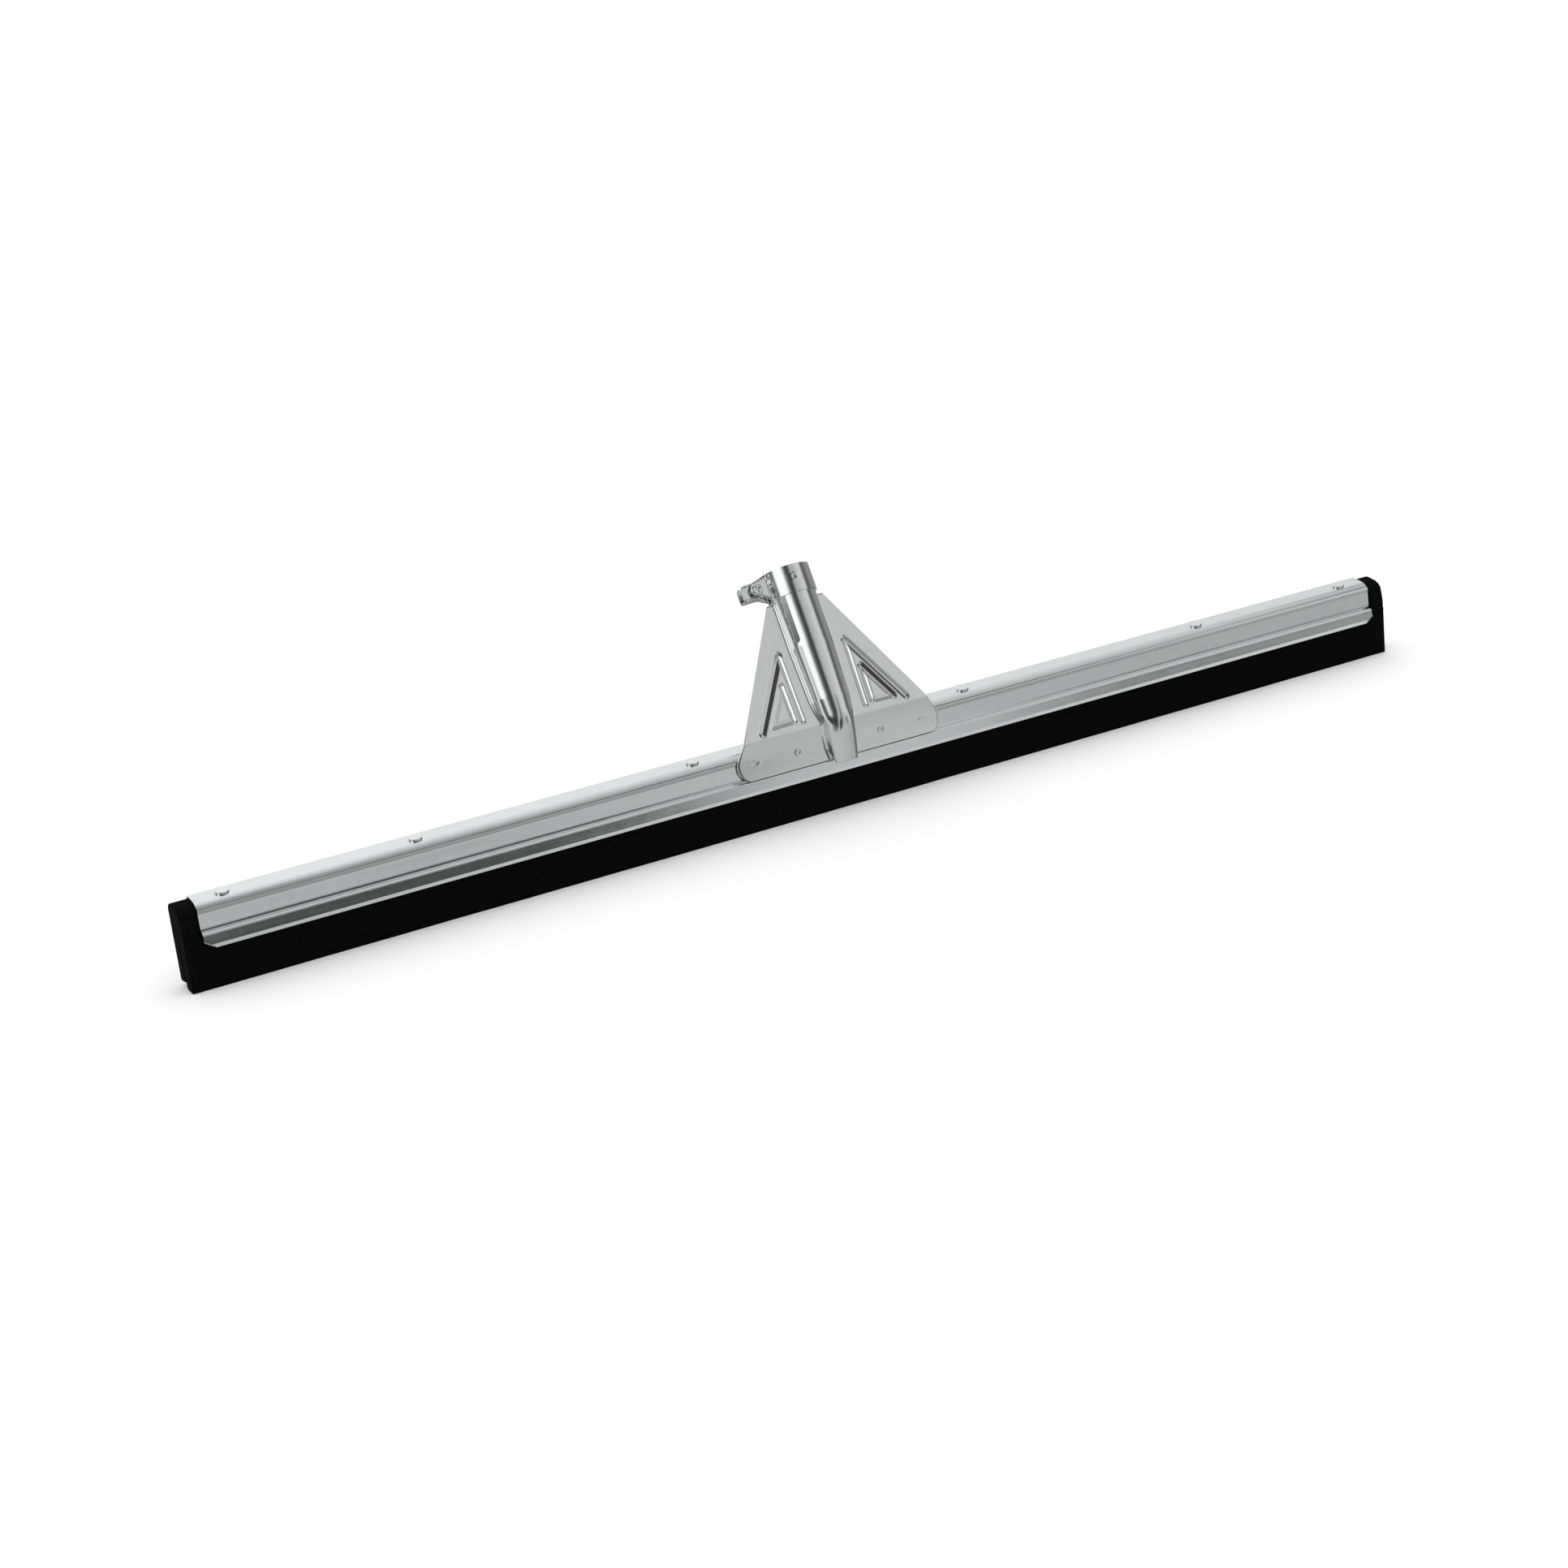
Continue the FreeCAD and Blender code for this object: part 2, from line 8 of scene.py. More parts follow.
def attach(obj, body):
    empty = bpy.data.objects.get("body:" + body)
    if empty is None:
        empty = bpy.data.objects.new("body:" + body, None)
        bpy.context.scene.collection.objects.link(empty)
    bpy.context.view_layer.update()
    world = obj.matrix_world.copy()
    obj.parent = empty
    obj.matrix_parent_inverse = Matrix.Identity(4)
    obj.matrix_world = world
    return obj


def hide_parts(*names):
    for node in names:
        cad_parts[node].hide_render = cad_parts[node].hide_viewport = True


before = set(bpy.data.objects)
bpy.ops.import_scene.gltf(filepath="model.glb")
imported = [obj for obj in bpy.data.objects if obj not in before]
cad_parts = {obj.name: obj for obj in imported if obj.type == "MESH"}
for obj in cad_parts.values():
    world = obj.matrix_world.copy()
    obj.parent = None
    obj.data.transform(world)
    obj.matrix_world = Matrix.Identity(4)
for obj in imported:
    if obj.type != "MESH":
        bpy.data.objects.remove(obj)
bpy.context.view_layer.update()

MM = 0.001

# Sizes below are millimetres in the section frame of the part; SECTION_Y takes them to the row frame.
SECTION_Y = 6.6
TILT = math.radians(28.8)  # lean of the socket to the rear
PLATE_BACK = -8.9  # back face of the bracket's upright foot
BEND_Z = 49.6  # height at which the bracket bends
THROAT = 1.3  # the tube narrows by this much between these two heights up the slope
THROAT_LOW_S = 12.0
THROAT_S = 43.0


# ------------------------------------------------------------------ helpers
def rounded(points, radii, closed=False, step=9.0):
    """Points of a polyline whose corners are turned into arcs."""
    pts = [np.array(p, float) for p in points]
    out = []
    count = len(pts)
    for i, p in enumerate(pts):
        inner = closed or 0 < i < count - 1
        if not inner or radii[i] <= 0:
            out.append(p)
            continue
        back = pts[i - 1] - p
        ahead = pts[(i + 1) % count] - p
        back /= np.linalg.norm(back)
        ahead /= np.linalg.norm(ahead)
        half = math.acos(max(-1.0, min(1.0, float(back @ ahead)))) / 2
        cut = radii[i] / math.tan(half)
        mid = back + ahead
        mid /= np.linalg.norm(mid)
        centre = p + mid * radii[i] / math.sin(half)
        a = p + back * cut - centre
        b = p + ahead * cut - centre
        sweep = math.pi - 2 * half
        n = max(2, int(math.ceil(math.degrees(sweep) / step)))
        for k in range(n + 1):
            f = k / n
            w = (math.sin((1 - f) * sweep) * a + math.sin(f * sweep) * b) / math.sin(sweep)
            out.append(centre + w)
    return np.array(out)


def spaced(line, gap):
    """The polyline with extra points so that no run is longer than gap."""
    out = [line[0]]
    for a, b in zip(line[:-1], line[1:]):
        n = max(1, int(math.ceil(np.linalg.norm(b - a) / gap)))
        for k in range(1, n + 1):
            out.append(a + (b - a) * k / n)
    return np.array(out)


def normals_of(line):
    """Unit normals at the points of a line, to the left of its direction."""
    d = np.gradient(line, axis=0)
    d /= np.linalg.norm(d, axis=1)[:, None]
    return np.stack([-d[:, 1], d[:, 0]], axis=1)


def make(name, verts, faces, body="head", smooth=50.0):
    """A smooth-shaded mesh object that keeps edges over the smooth angle sharp, carried by a body."""
    mesh = bpy.data.meshes.new(name)
    mesh.from_pydata([tuple(v) for v in verts], [], [tuple(f) for f in faces])
    mesh.validate()
    mesh.shade_smooth()
    mesh.set_sharp_from_angle(angle=math.radians(smooth))
    obj = bpy.data.objects.new(name, mesh)
    bpy.context.scene.collection.objects.link(obj)
    if body:
        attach(obj, body)
    return obj


def baked(obj, smooth=30.0):
    """Applies the object's modifiers."""
    deps = bpy.context.evaluated_depsgraph_get()
    result = obj.evaluated_get(deps)
    mesh = bpy.data.meshes.new_from_object(result, preserve_all_data_layers=False, depsgraph=deps)
    obj.modifiers.clear()
    obj.data = mesh
    mesh.shade_smooth()
    mesh.set_sharp_from_angle(angle=math.radians(smooth))


def smoothstep(a, b, x):
    """0 at a and 1 at b, with an eased run between."""
    t = np.clip((x - a) / (b - a), 0, 1)
    return t * t * (3 - 2 * t)


# ------------------------------------------------------------------ material nodes
class Nodes:
    """Small helper that adds nodes to one material."""

    def __init__(self, name):
        self.mat = bpy.data.materials.new(name)
        self.mat.use_nodes = True
        self.tree = self.mat.node_tree
        self.bsdf = self.tree.nodes["Principled BSDF"]
        coord = self.add("ShaderNodeTexCoord")
        self.coord = coord.outputs["Object"]

    def add(self, kind, **settings):
        node = self.tree.nodes.new(kind)
        for key, value in settings.items():
            setattr(node, key, value)
        return node

    def link(self, a, b):
        self.tree.links.new(a, b)

    def scaled(self, sx, sy, sz, turn=(0, 0, 0)):
        node = self.add("ShaderNodeMapping")
        node.inputs["Scale"].default_value = (sx, sy, sz)
        node.inputs["Rotation"].default_value = turn
        self.link(self.coord, node.inputs["Vector"])
        return node.outputs["Vector"]

    def noise(self, vector, scale, detail=3.0, rough=0.55, warp=0.0):
        node = self.add("ShaderNodeTexNoise")
        node.inputs["Scale"].default_value = scale
        node.inputs["Detail"].default_value = detail
        node.inputs["Roughness"].default_value = rough
        node.inputs["Distortion"].default_value = warp
        self.link(vector, node.inputs["Vector"])
        return node.outputs["Fac"]

    def cells(self, vector, scale, feature="F1"):
        node = self.add("ShaderNodeTexVoronoi", feature=feature)
        node.inputs["Scale"].default_value = scale
        self.link(vector, node.inputs["Vector"])
        return node.outputs["Distance"], node.outputs["Color"]

    def fit(self, value, low, high, to_low, to_high):
        node = self.add("ShaderNodeMapRange")
        ends = {"From Min": low, "From Max": high, "To Min": to_low, "To Max": to_high}
        for key, number in ends.items():
            node.inputs[key].default_value = number
        self.link(value, node.inputs["Value"])
        return node.outputs["Result"]

    def math(self, kind, a, b):
        node = self.add("ShaderNodeMath", operation=kind)
        for socket, value in zip(node.inputs, (a, b)):
            if isinstance(value, (int, float)):
                socket.default_value = value
            else:
                self.link(value, socket)
        return node.outputs[0]

    def socket_radius(self):
        """Distance from the socket's leaning axis; large below the socket."""
        node = self.add("ShaderNodeMapping", vector_type="POINT")
        axis_y = (PLATE_BACK + SECTION_Y) * MM
        shift_y = -axis_y * math.cos(TILT) + BEND_Z * MM * math.sin(TILT)
        shift_z = -axis_y * math.sin(TILT) - BEND_Z * MM * math.cos(TILT)
        node.inputs["Rotation"].default_value = (TILT, 0, 0)
        node.inputs["Location"].default_value = (0, shift_y, shift_z)
        self.link(self.coord, node.inputs["Vector"])
        part = self.add("ShaderNodeSeparateXYZ")
        self.link(node.outputs["Vector"], part.inputs[0])
        across = self.math("POWER", part.outputs[0], 2.0)
        deep = self.math("POWER", part.outputs[1], 2.0)
        square = self.math("ADD", across, deep)
        taper = self.fit(part.outputs[2], THROAT_LOW_S * MM, THROAT_S * MM, THROAT * MM, 0.0)
        below = self.fit(part.outputs[2], 2.0 * MM, 8.0 * MM, 0.1, 0.0)
        return self.math("ADD", self.math("SQRT", square, 0.0), self.math("ADD", taper, below))

    def ramp(self, value, stops):
        node = self.add("ShaderNodeValToRGB")
        ramp = node.color_ramp
        while len(ramp.elements) < len(stops):
            ramp.elements.new(0.5)
        for element, (place, colour) in zip(ramp.elements, stops):
            element.position = place
            element.color = (*colour, 1)
        self.link(value, node.inputs["Fac"])
        return node.outputs["Color"]

    def bump(self, height, strength, distance, under=None):
        node = self.add("ShaderNodeBump")
        node.inputs["Strength"].default_value = strength
        node.inputs["Distance"].default_value = distance
        self.link(height, node.inputs["Height"])
        if under is not None:
            self.link(under, node.inputs["Normal"])
        return node.outputs["Normal"]


def rolled_sheet(name, light, rough, grain, wave, along="x", inside=False):
    """Zinc coated sheet: streaks along the rolling direction, faint mottling, slight unevenness.

    Grain and wave are heights in metres. With inside set, the socket's inner wall is made dull and pale:
    painted light, which makes the hollow read light grey as if lit through the slot and the open top."""
    n = Nodes(name)
    stretch = (3, 160, 160) if along == "x" else (200, 60, 8)
    streak = n.noise(n.scaled(*stretch), 4.0, 4.0, 0.6)
    mottle = n.noise(n.coord, 95.0, 4.0, 0.6, 0.6)
    broad = n.noise(n.scaled(9, 30, 30), 1.0, 2.0, 0.5)
    speck = n.noise(n.coord, 2600.0, 2.0, 0.6)
    tone = n.math("ADD", n.math("MULTIPLY", streak, 0.45), n.math("MULTIPLY", mottle, 0.55))
    dark = tuple(c * 0.94 for c in light)
    bright = tuple(min(1.0, c * 1.03) for c in light)
    n.link(n.ramp(tone, [(0.30, dark), (0.55, light), (0.80, bright)]), n.bsdf.inputs["Base Color"])
    spread = n.math("ADD", n.math("MULTIPLY", streak, 0.6), n.math("MULTIPLY", mottle, 0.4))
    n.link(n.fit(spread, 0.3, 0.7, rough - 0.03, rough + 0.04), n.bsdf.inputs["Roughness"])
    # Painted light: inside the socket the sheet turns dull and pale, standing in for light that falls into
    # the hollow.
    if inside:
        n.link(n.fit(n.socket_radius(), 12.3 * MM, 12.6 * MM, 0.15, 1.0), n.bsdf.inputs["Metallic"])
    else:
        n.bsdf.inputs["Metallic"].default_value = 1.0
    low = n.bump(broad, 0.5, wave)
    mid = n.bump(streak, 0.25, grain, low)
    n.link(n.bump(speck, 0.15, grain * 0.6, mid), n.bsdf.inputs["Normal"])
    return n.mat


def moss_rubber(name):
    """Black closed-cell foam rubber: matte, with fine open pores and a dusting of grey."""
    n = Nodes(name)
    pore, _ = n.cells(n.coord, 1500.0)
    fine, _ = n.cells(n.coord, 3600.0)
    cloud = n.noise(n.coord, 60.0, 4.0, 0.6)
    pits = n.math("ADD", n.math("MULTIPLY", pore, 0.7), n.math("MULTIPLY", fine, 0.3))
    tone = n.math("ADD", n.math("MULTIPLY", pits, 0.7), n.math("MULTIPLY", cloud, 0.3))
    stops = [
        (0.15, (0.0008, 0.0008, 0.0009)),
        (0.55, (0.0019, 0.0019, 0.0020)),
        (0.85, (0.0040, 0.0040, 0.0042)),
    ]
    n.link(n.ramp(tone, stops), n.bsdf.inputs["Base Color"])
    n.link(n.fit(cloud, 0.3, 0.7, 0.82, 0.95), n.bsdf.inputs["Roughness"])
    n.bsdf.inputs["Specular IOR Level"].default_value = 0.05
    n.link(n.bump(pits, 0.6, 0.00025), n.bsdf.inputs["Normal"])
    return n.mat


GALVANIZED = rolled_sheet("galvanized_sheet", (0.76, 0.77, 0.775), 0.13, 0.000003, 0.0004)
# The bright zinc carries painted light on the socket's inner wall, where it turns dull and pale.
BRIGHT = rolled_sheet("bright_zinc", (0.77, 0.775, 0.775), 0.145, 0.0000001, 0.0002, "s", inside=True)
RIVETS = rolled_sheet("rivet_steel", (0.80, 0.80, 0.805), 0.16, 0.00001, 0.0002, "s")
SCREW = rolled_sheet("screw_zinc", (0.74, 0.745, 0.75), 0.18, 0.00002, 0.0002, "s")
PLAIN = rolled_sheet("plain_steel", (0.50, 0.51, 0.52), 0.35, 0.00003, 0.0003)
RUBBER = moss_rubber("moss_rubber")

# ------------------------------------------------------------------ channel
FRAME_L = 730.0
HALF = 0.4  # half the sheet's thickness
LIP_LOW_Z = 21.4
slope = math.radians(9.0)
front_mid = -8.9 + HALF
rear_mid = 8.4 - HALF
top_front = 43.6
top_rear = top_front + (rear_mid - front_mid - 0.5) * math.tan(slope)
# Middle line of the sheet from the front lip's lower edge over the top to the rear wall's foot.
channel_path = [
    (-11.5 + HALF - 1.6, LIP_LOW_Z + HALF),
    (-11.5 + HALF - 0.7, LIP_LOW_Z + 2.0),
    (-11.5 + HALF, 28.7),
    (front_mid - 0.24, 30.1),
    (front_mid, 31.3),
    (front_mid + 0.3, 39.2),
    (front_mid, 41.1),
    (front_mid + 1.9, top_front + 0.22),
    (rear_mid, top_rear),
    (rear_mid, 24.3),
    (rear_mid + 1.1, 22.5),
]
channel_bends = [0, 0.7, 0.8, 0.3, 0.5, 0.7, 0.25, 7.5, 4.2, 1.0, 0]


def sheet_outline(line, thick, lip=3):
    """Closed outline of a bent sheet with softened raw edges."""
    n = normals_of(line)
    one = line + n * thick / 2
    two = line - n * thick / 2
    out = list(one)
    for end in (-1, 0):
        mid = line[end]
        d = line[end] - line[end - 1] if end == -1 else line[0] - line[1]
        d = d / np.linalg.norm(d)
        side = (one[end] - mid) if end == -1 else (two[end] - mid)
        for k in range(1, lip + 1):
            a = math.pi * k / (lip + 1)
            push = d * thick * 0.16 * math.sin(a)
            out.append(mid + side * math.cos(a) + push)
        if end == -1:
            out += list(two[::-1])
    return np.array(out)


END_CHAMFER_X = 6.5
END_CHAMFER_Z = 4.2


def channel_mesh():
    """The bent sheet along x, its lip chamfered at both ends."""
    line = spaced(rounded(channel_path, channel_bends, step=5.0), 1.2)
    ring = sheet_outline(line, 2 * HALF)
    count = len(ring)
    half = FRAME_L / 2
    xs = np.concatenate([
        np.linspace(-half, -half + 7.5, 22),
        np.linspace(-half + 8.0, half - 8.0, 360),
        np.linspace(half - 7.5, half, 22),
    ])
    verts = []
    for x in xs:
        past = max(0.0, abs(x) - (half - END_CHAMFER_X))
        corner = LIP_LOW_Z - 0.2 + past / END_CHAMFER_X * END_CHAMFER_Z
        for y, z in ring:
            if y < -8.9 and z < corner:
                z = corner + (z - LIP_LOW_Z) * 0.004
            verts.append((x * MM, (y + SECTION_Y) * MM, z * MM))
    faces = []
    for i in range(len(xs) - 1):
        for k in range(count):
            a = i * count + k
            b = i * count + (k + 1) % count
            faces.append((a, b, b + count, a + count))
    faces.append(tuple(range(count))[::-1])
    faces.append(tuple(range((len(xs) - 1) * count, len(xs) * count)))
    return make("channel_sheet", verts, faces, smooth=35.0)


channel = channel_mesh()
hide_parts("frame_channel")
channel.data.materials.append(GALVANIZED)

# ------------------------------------------------------------------ rubber blade
BLADE_L = 750.0
rubber_rear = rear_mid - HALF - 0.06
top_in = top_front - HALF / math.cos(slope) - 0.12
top_in_rear = top_in + (rubber_rear - front_mid - 0.5) * math.tan(slope)
blade_points = [
    (-10.4, 0.0),
    (-10.4, 27.1),
    (-7.85, 29.2),
    (-7.4, 39.0),
    (-7.6, 40.4),
    (-6.2, 42.35),
    (-3.6, top_in + 0.62),
    (rubber_rear, top_in_rear),
    (rubber_rear, 26.5),
    (7.4, 20.5),
    (7.4, 3.0),
    (5.6, 2.4),
    (-1.25, 3.4),
    (-1.25, 24.0),
    (-1.75, 24.0),
    (-1.75, 0.9),
    (-2.8, 0.0),
]
blade_rounds = [0.35, 1.4, 1.0, 0.3, 0.6, 2.0, 2.5, 4.6, 2.0, 1.5, 0.5, 0.6, 0.3, 0.0, 0.0, 0.5, 0.4]


# Past the channel's ends nothing squeezes the rubber, so its front swells back to full thickness.
END_SWELL = 2.5
SWELL_BACK_TO = -3.0
SWELL_Z = (26.6, 28.6, 29.6, 33.0, 36.5, 39.5, 42.3, 44.6)
SWELL_SHARE = (0.0, 0.6, 1.0, 0.98, 0.82, 0.56, 0.25, 0.0)


def blade_mesh():
    """The folded rubber along x: slightly wavy, its edges and ends softened."""
    ring = rounded(blade_points, blade_rounds, closed=True, step=15.0)
    ring = spaced(np.vstack([ring, ring[:1]]), 1.4)[:-1]
    n = np.roll(ring, -1, 0) - np.roll(ring, 1, 0)
    n /= np.linalg.norm(n, axis=1)[:, None]
    inward = np.stack([n[:, 1], -n[:, 0]], axis=1)
    area = np.sum(ring[:, 0] * np.roll(ring[:, 1], -1) - np.roll(ring[:, 0], -1) * ring[:, 1])
    if area > 0:
        inward = -inward
    half = BLADE_L / 2
    frame_end = FRAME_L / 2
    end_run = [frame_end + d for d in (0.0, 0.3, 0.9, 1.7, 2.8, 4.2, 6.0, 8.0)]
    end_run += [half - 0.9, half - 0.5, half - 0.12, half]
    xs = [-x for x in end_run[::-1]] + list(np.linspace(-frame_end + 1.7, frame_end - 1.7, 410)) + end_run
    verts = []
    for x in xs:
        from_end = half - abs(x)
        shrink = 0.32 * max(0.0, 1 - from_end / 0.5) ** 2
        sway = 0.22 * math.sin(x * 0.021 + 0.7) + 0.10 * math.sin(x * 0.083 + 2.0)
        lift = 0.05 + 0.03 * math.sin(x * 0.034 + 1.0) + 0.02 * math.sin(x * 0.13)
        freed = END_SWELL * float(smoothstep(frame_end, frame_end + 2.8, np.array(abs(x))))
        for (y, z), inn in zip(ring, inward):
            low = 1.0 - min(1.0, max(0.0, z / 22.0))
            edge = 1.0 - min(1.0, max(0.0, z / 6.0))
            lean = sway if y > -9 else max(0.0, sway)
            yy = min(y + inn[0] * shrink + lean * low, 7.5)
            if y < SWELL_BACK_TO:
                yy -= freed * float(np.interp(z, SWELL_Z, SWELL_SHARE))
            zz = z + inn[1] * shrink + lift * edge
            verts.append((x * MM, (yy + SECTION_Y) * MM, max(zz, 0.0) * MM))
    count = len(ring)
    faces = []
    for i in range(len(xs) - 1):
        for k in range(count):
            a = i * count + k
            b = i * count + (k + 1) % count
            faces.append((a, a + count, b + count, b))
    faces.append(tuple(range(count)))
    faces.append(tuple(range((len(xs) - 1) * count, len(xs) * count))[::-1])
    return make("foam_rubber_lips", verts, faces, smooth=40.0)


blade = blade_mesh()
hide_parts("moss_rubber_blade")
blade.data.materials.append(RUBBER)

# ------------------------------------------------------------------ bracket plate
PLATE_T = 1.0
WING_LOW_Z = 28.9
WING_TOP_S = 71.4
TUBE_TOP = 87.4
TUBE_R = 13.0
NECK_W = 8.9
NECK_DEPTH = 9.8
NECK_SQUARE = 3.2
NECK_FLARE = 9.0
NECK_BLEND = 2.4
NECK_FLARE_LOW_Z = 48.0
NECK_FLARE_HIGH_Z = 68.0
FILLET = 1.6
SLOT_AZ = math.radians(-52.0)
SLOT_W = 3.6
SLOT_LOW = 45.5


def leaned(y, s):
    """Local socket frame (y back, s up the slope) to section y, z."""
    return (
        y * math.cos(TILT) + s * math.sin(TILT) + PLATE_BACK,
        -y * math.sin(TILT) + s * math.cos(TILT) + BEND_Z,
    )


# The foot bows forward, so that its lower edge stands off the channel's ledge.
FOOT_TIP_Y = -12.1
FOOT_LIFT = 0.9
FOOT_KNEE = 4.1
FOOT_BOW_Z = 38.5
FOOT_BOW_R = 50.0
plate_mid = PLATE_BACK - PLATE_T / 2
bend_mid = BEND_Z + PLATE_T / 2 * math.tan(TILT / 2)
plate_line = rounded(
    [
        (FOOT_TIP_Y, WING_LOW_Z + FOOT_LIFT),
        (plate_mid, FOOT_BOW_Z),
        (plate_mid, bend_mid),
        (plate_mid + 100 * math.sin(TILT), bend_mid + 100 * math.cos(TILT)),
    ],
    [0, FOOT_BOW_R, 1.6, 0],
    step=3.0,
)
plate_line = spaced(plate_line, 0.34)
# Distance of each row from the bend, up the slope; rows are close together where the shape is busy.
arc = np.concatenate([[0], np.cumsum(np.linalg.norm(np.diff(plate_line, axis=0), axis=1))])
row_s = arc - arc[np.argmin(np.abs(plate_line[:, 1] - bend_mid))]
fine = (row_s > -12.0) & (row_s < 46.0)
every_third = np.arange(len(row_s)) % 3 == 0
keep = (row_s <= TUBE_TOP + 0.01) & (fine | every_third | (row_s < -17.0))
plate_line = plate_line[keep]
row_s = row_s[keep]
plate_normal = normals_of(plate_line)
if plate_normal[len(plate_normal) // 2][0] > 0:
    plate_normal = -plate_normal

# Outline of the right half of the plate, seen from the front.
outline = rounded(
    [
        (0.0, BEND_Z + WING_TOP_S * math.cos(TILT)),
        (16.8, BEND_Z + WING_TOP_S * math.cos(TILT)),
        (57.6, BEND_Z),
        (63.2, 39.6),
        (62.9, WING_LOW_Z + 0.3),
        (0.0, WING_LOW_Z + 0.3),
    ],
    [0, 1.5, 12.0, 6.0, 8.5, 0],
    step=4.0,
)
side_run = outline[1:-1]
side_z = side_run[::-1, 1]
side_x = side_run[::-1, 0]


def half_width(z):
    """Half the plate's width at a height."""
    return float(np.interp(z, side_z, side_x))


# Pressed V grooves: ends (distance from the middle, height up the wing), width, depth left and right.
GROOVES = [
    ((20.6, 42.6), (44.9, 3.4), 4.8, 0.84, 0.74),
    ((20.6, 42.6), (19.6, 4.6), 3.4, 1.10, 1.10),
    ((25.0, 26.0), (37.6, 5.6), 4.8, 0.18, 1.15),
    ((25.0, 26.0), (24.4, 6.0), 3.4, 1.22, 1.14),
    ((37.6, 5.6), (24.4, 6.0), 3.8, 0.36, 0.36),
]
GROOVE_ROOT = 0.2
GROOVE_EDGE = 0.07
WELDS = (26.0, 52.0)
WELD_Z = 38.4


def pressed(x, s, z):
    """How far the wing surface is pushed back by grooves and weld marks along one row."""
    ax = np.abs(x)
    depth = np.zeros(len(x))
    for (x0, s0), (x1, s1), wide, left, right in GROOVES:
        dx, ds = x1 - x0, s1 - s0
        f = np.clip(((ax - x0) * dx + (s - s0) * ds) / (dx * dx + ds * ds), 0, 1)
        gap = np.hypot(ax - x0 - f * dx, s - s0 - f * ds)
        wall = np.hypot(gap, GROOVE_ROOT) - GROOVE_ROOT
        wall = wall / (math.hypot(wide / 2, GROOVE_ROOT) - GROOVE_ROOT)
        fill = (1 - wall + np.hypot(1 - wall, GROOVE_EDGE)) / 2
        depth = np.maximum(depth, fill * np.where(x < 0, left, right) * (gap < wide))
    for wx in WELDS:
        gap = np.hypot(ax - wx, z - WELD_Z)
        dent = 0.22 * np.exp(-((gap / 0.75) ** 2))
        ring = 0.09 * np.exp(-(((gap - 1.35) / 0.35) ** 2))
        depth += dent - ring
    return depth


def tube_radius(s):
    """Outside radius of the tube up the slope, narrowed at the throat and drawn in below it."""
    opened = np.clip((s - THROAT_LOW_S) / (THROAT_S - THROAT_LOW_S), 0, 1)
    return TUBE_R - THROAT * (1 - opened) - 0.1 * np.maximum(THROAT_LOW_S - s, 0.0)


def outside(x, y, z):
    """Positive outside the pressing: the leaning tube cut by the upright neck, softly joined."""
    back = (y - PLATE_BACK) * math.cos(TILT) - (z - BEND_Z) * math.sin(TILT)
    s = (y - PLATE_BACK) * math.sin(TILT) + (z - BEND_Z) * math.cos(TILT)
    tube = np.hypot(x, back) - tube_radius(s)
    wide = NECK_W + NECK_FLARE * smoothstep(NECK_FLARE_LOW_Z, NECK_FLARE_HIGH_Z, z)
    out = np.maximum(PLATE_BACK - y, 0.0) / NECK_DEPTH
    neck = (((np.abs(x) / wide) ** NECK_SQUARE + out**NECK_SQUARE) ** (1 / NECK_SQUARE) - 1) * NECK_DEPTH
    soft = np.maximum(NECK_BLEND - np.abs(tube - neck), 0.0) / NECK_BLEND
    return np.maximum(tube, neck) + soft * soft * NECK_BLEND / 4


# Columns of points on each side of a row: the wing's edge, its grooved part out to FINE_TO, the fillet
# into the pressing, and the pressing's arc up to the middle.
FINE_TO = 47.5
EDGE_COLS = 10
FINE_COLS = 100
WING_COLS = EDGE_COLS + FINE_COLS
FILLET_COLS = 8
ARC_COLS = 46
SIDE_COLS = WING_COLS + FILLET_COLS
COLUMNS = 2 * (SIDE_COLS + ARC_COLS) - 1
# Drop of the neck's rows towards the foot's lower edge, and the run up the slope over which the
# pressing takes on the socket's lean.
NECK_DROP = (FOOT_LIFT - 0.1) / (FOOT_KNEE - FOOT_LIFT)
LEAN_FROM_S = -9.0
LEAN_TO_S = 13.0
SWEEP = np.radians(np.linspace(3.0, 90.0, 150))


def half_section(root, rise):
    """x and height of the pressing over one row, from its foot to the crown."""
    low = np.full(len(SWEEP), 3.0)
    high = np.full(len(SWEEP), 22.0)
    for _ in range(24):
        mid_reach = (low + high) / 2
        x = mid_reach * np.cos(SWEEP)
        up_by = mid_reach * np.sin(SWEEP)
        beyond = outside(x, root[0] + rise[0] * up_by, root[1] + rise[1] * up_by) > 0
        high = np.where(beyond, mid_reach, high)
        low = np.where(beyond, low, mid_reach)
    return low * np.cos(SWEEP), low * np.sin(SWEEP)


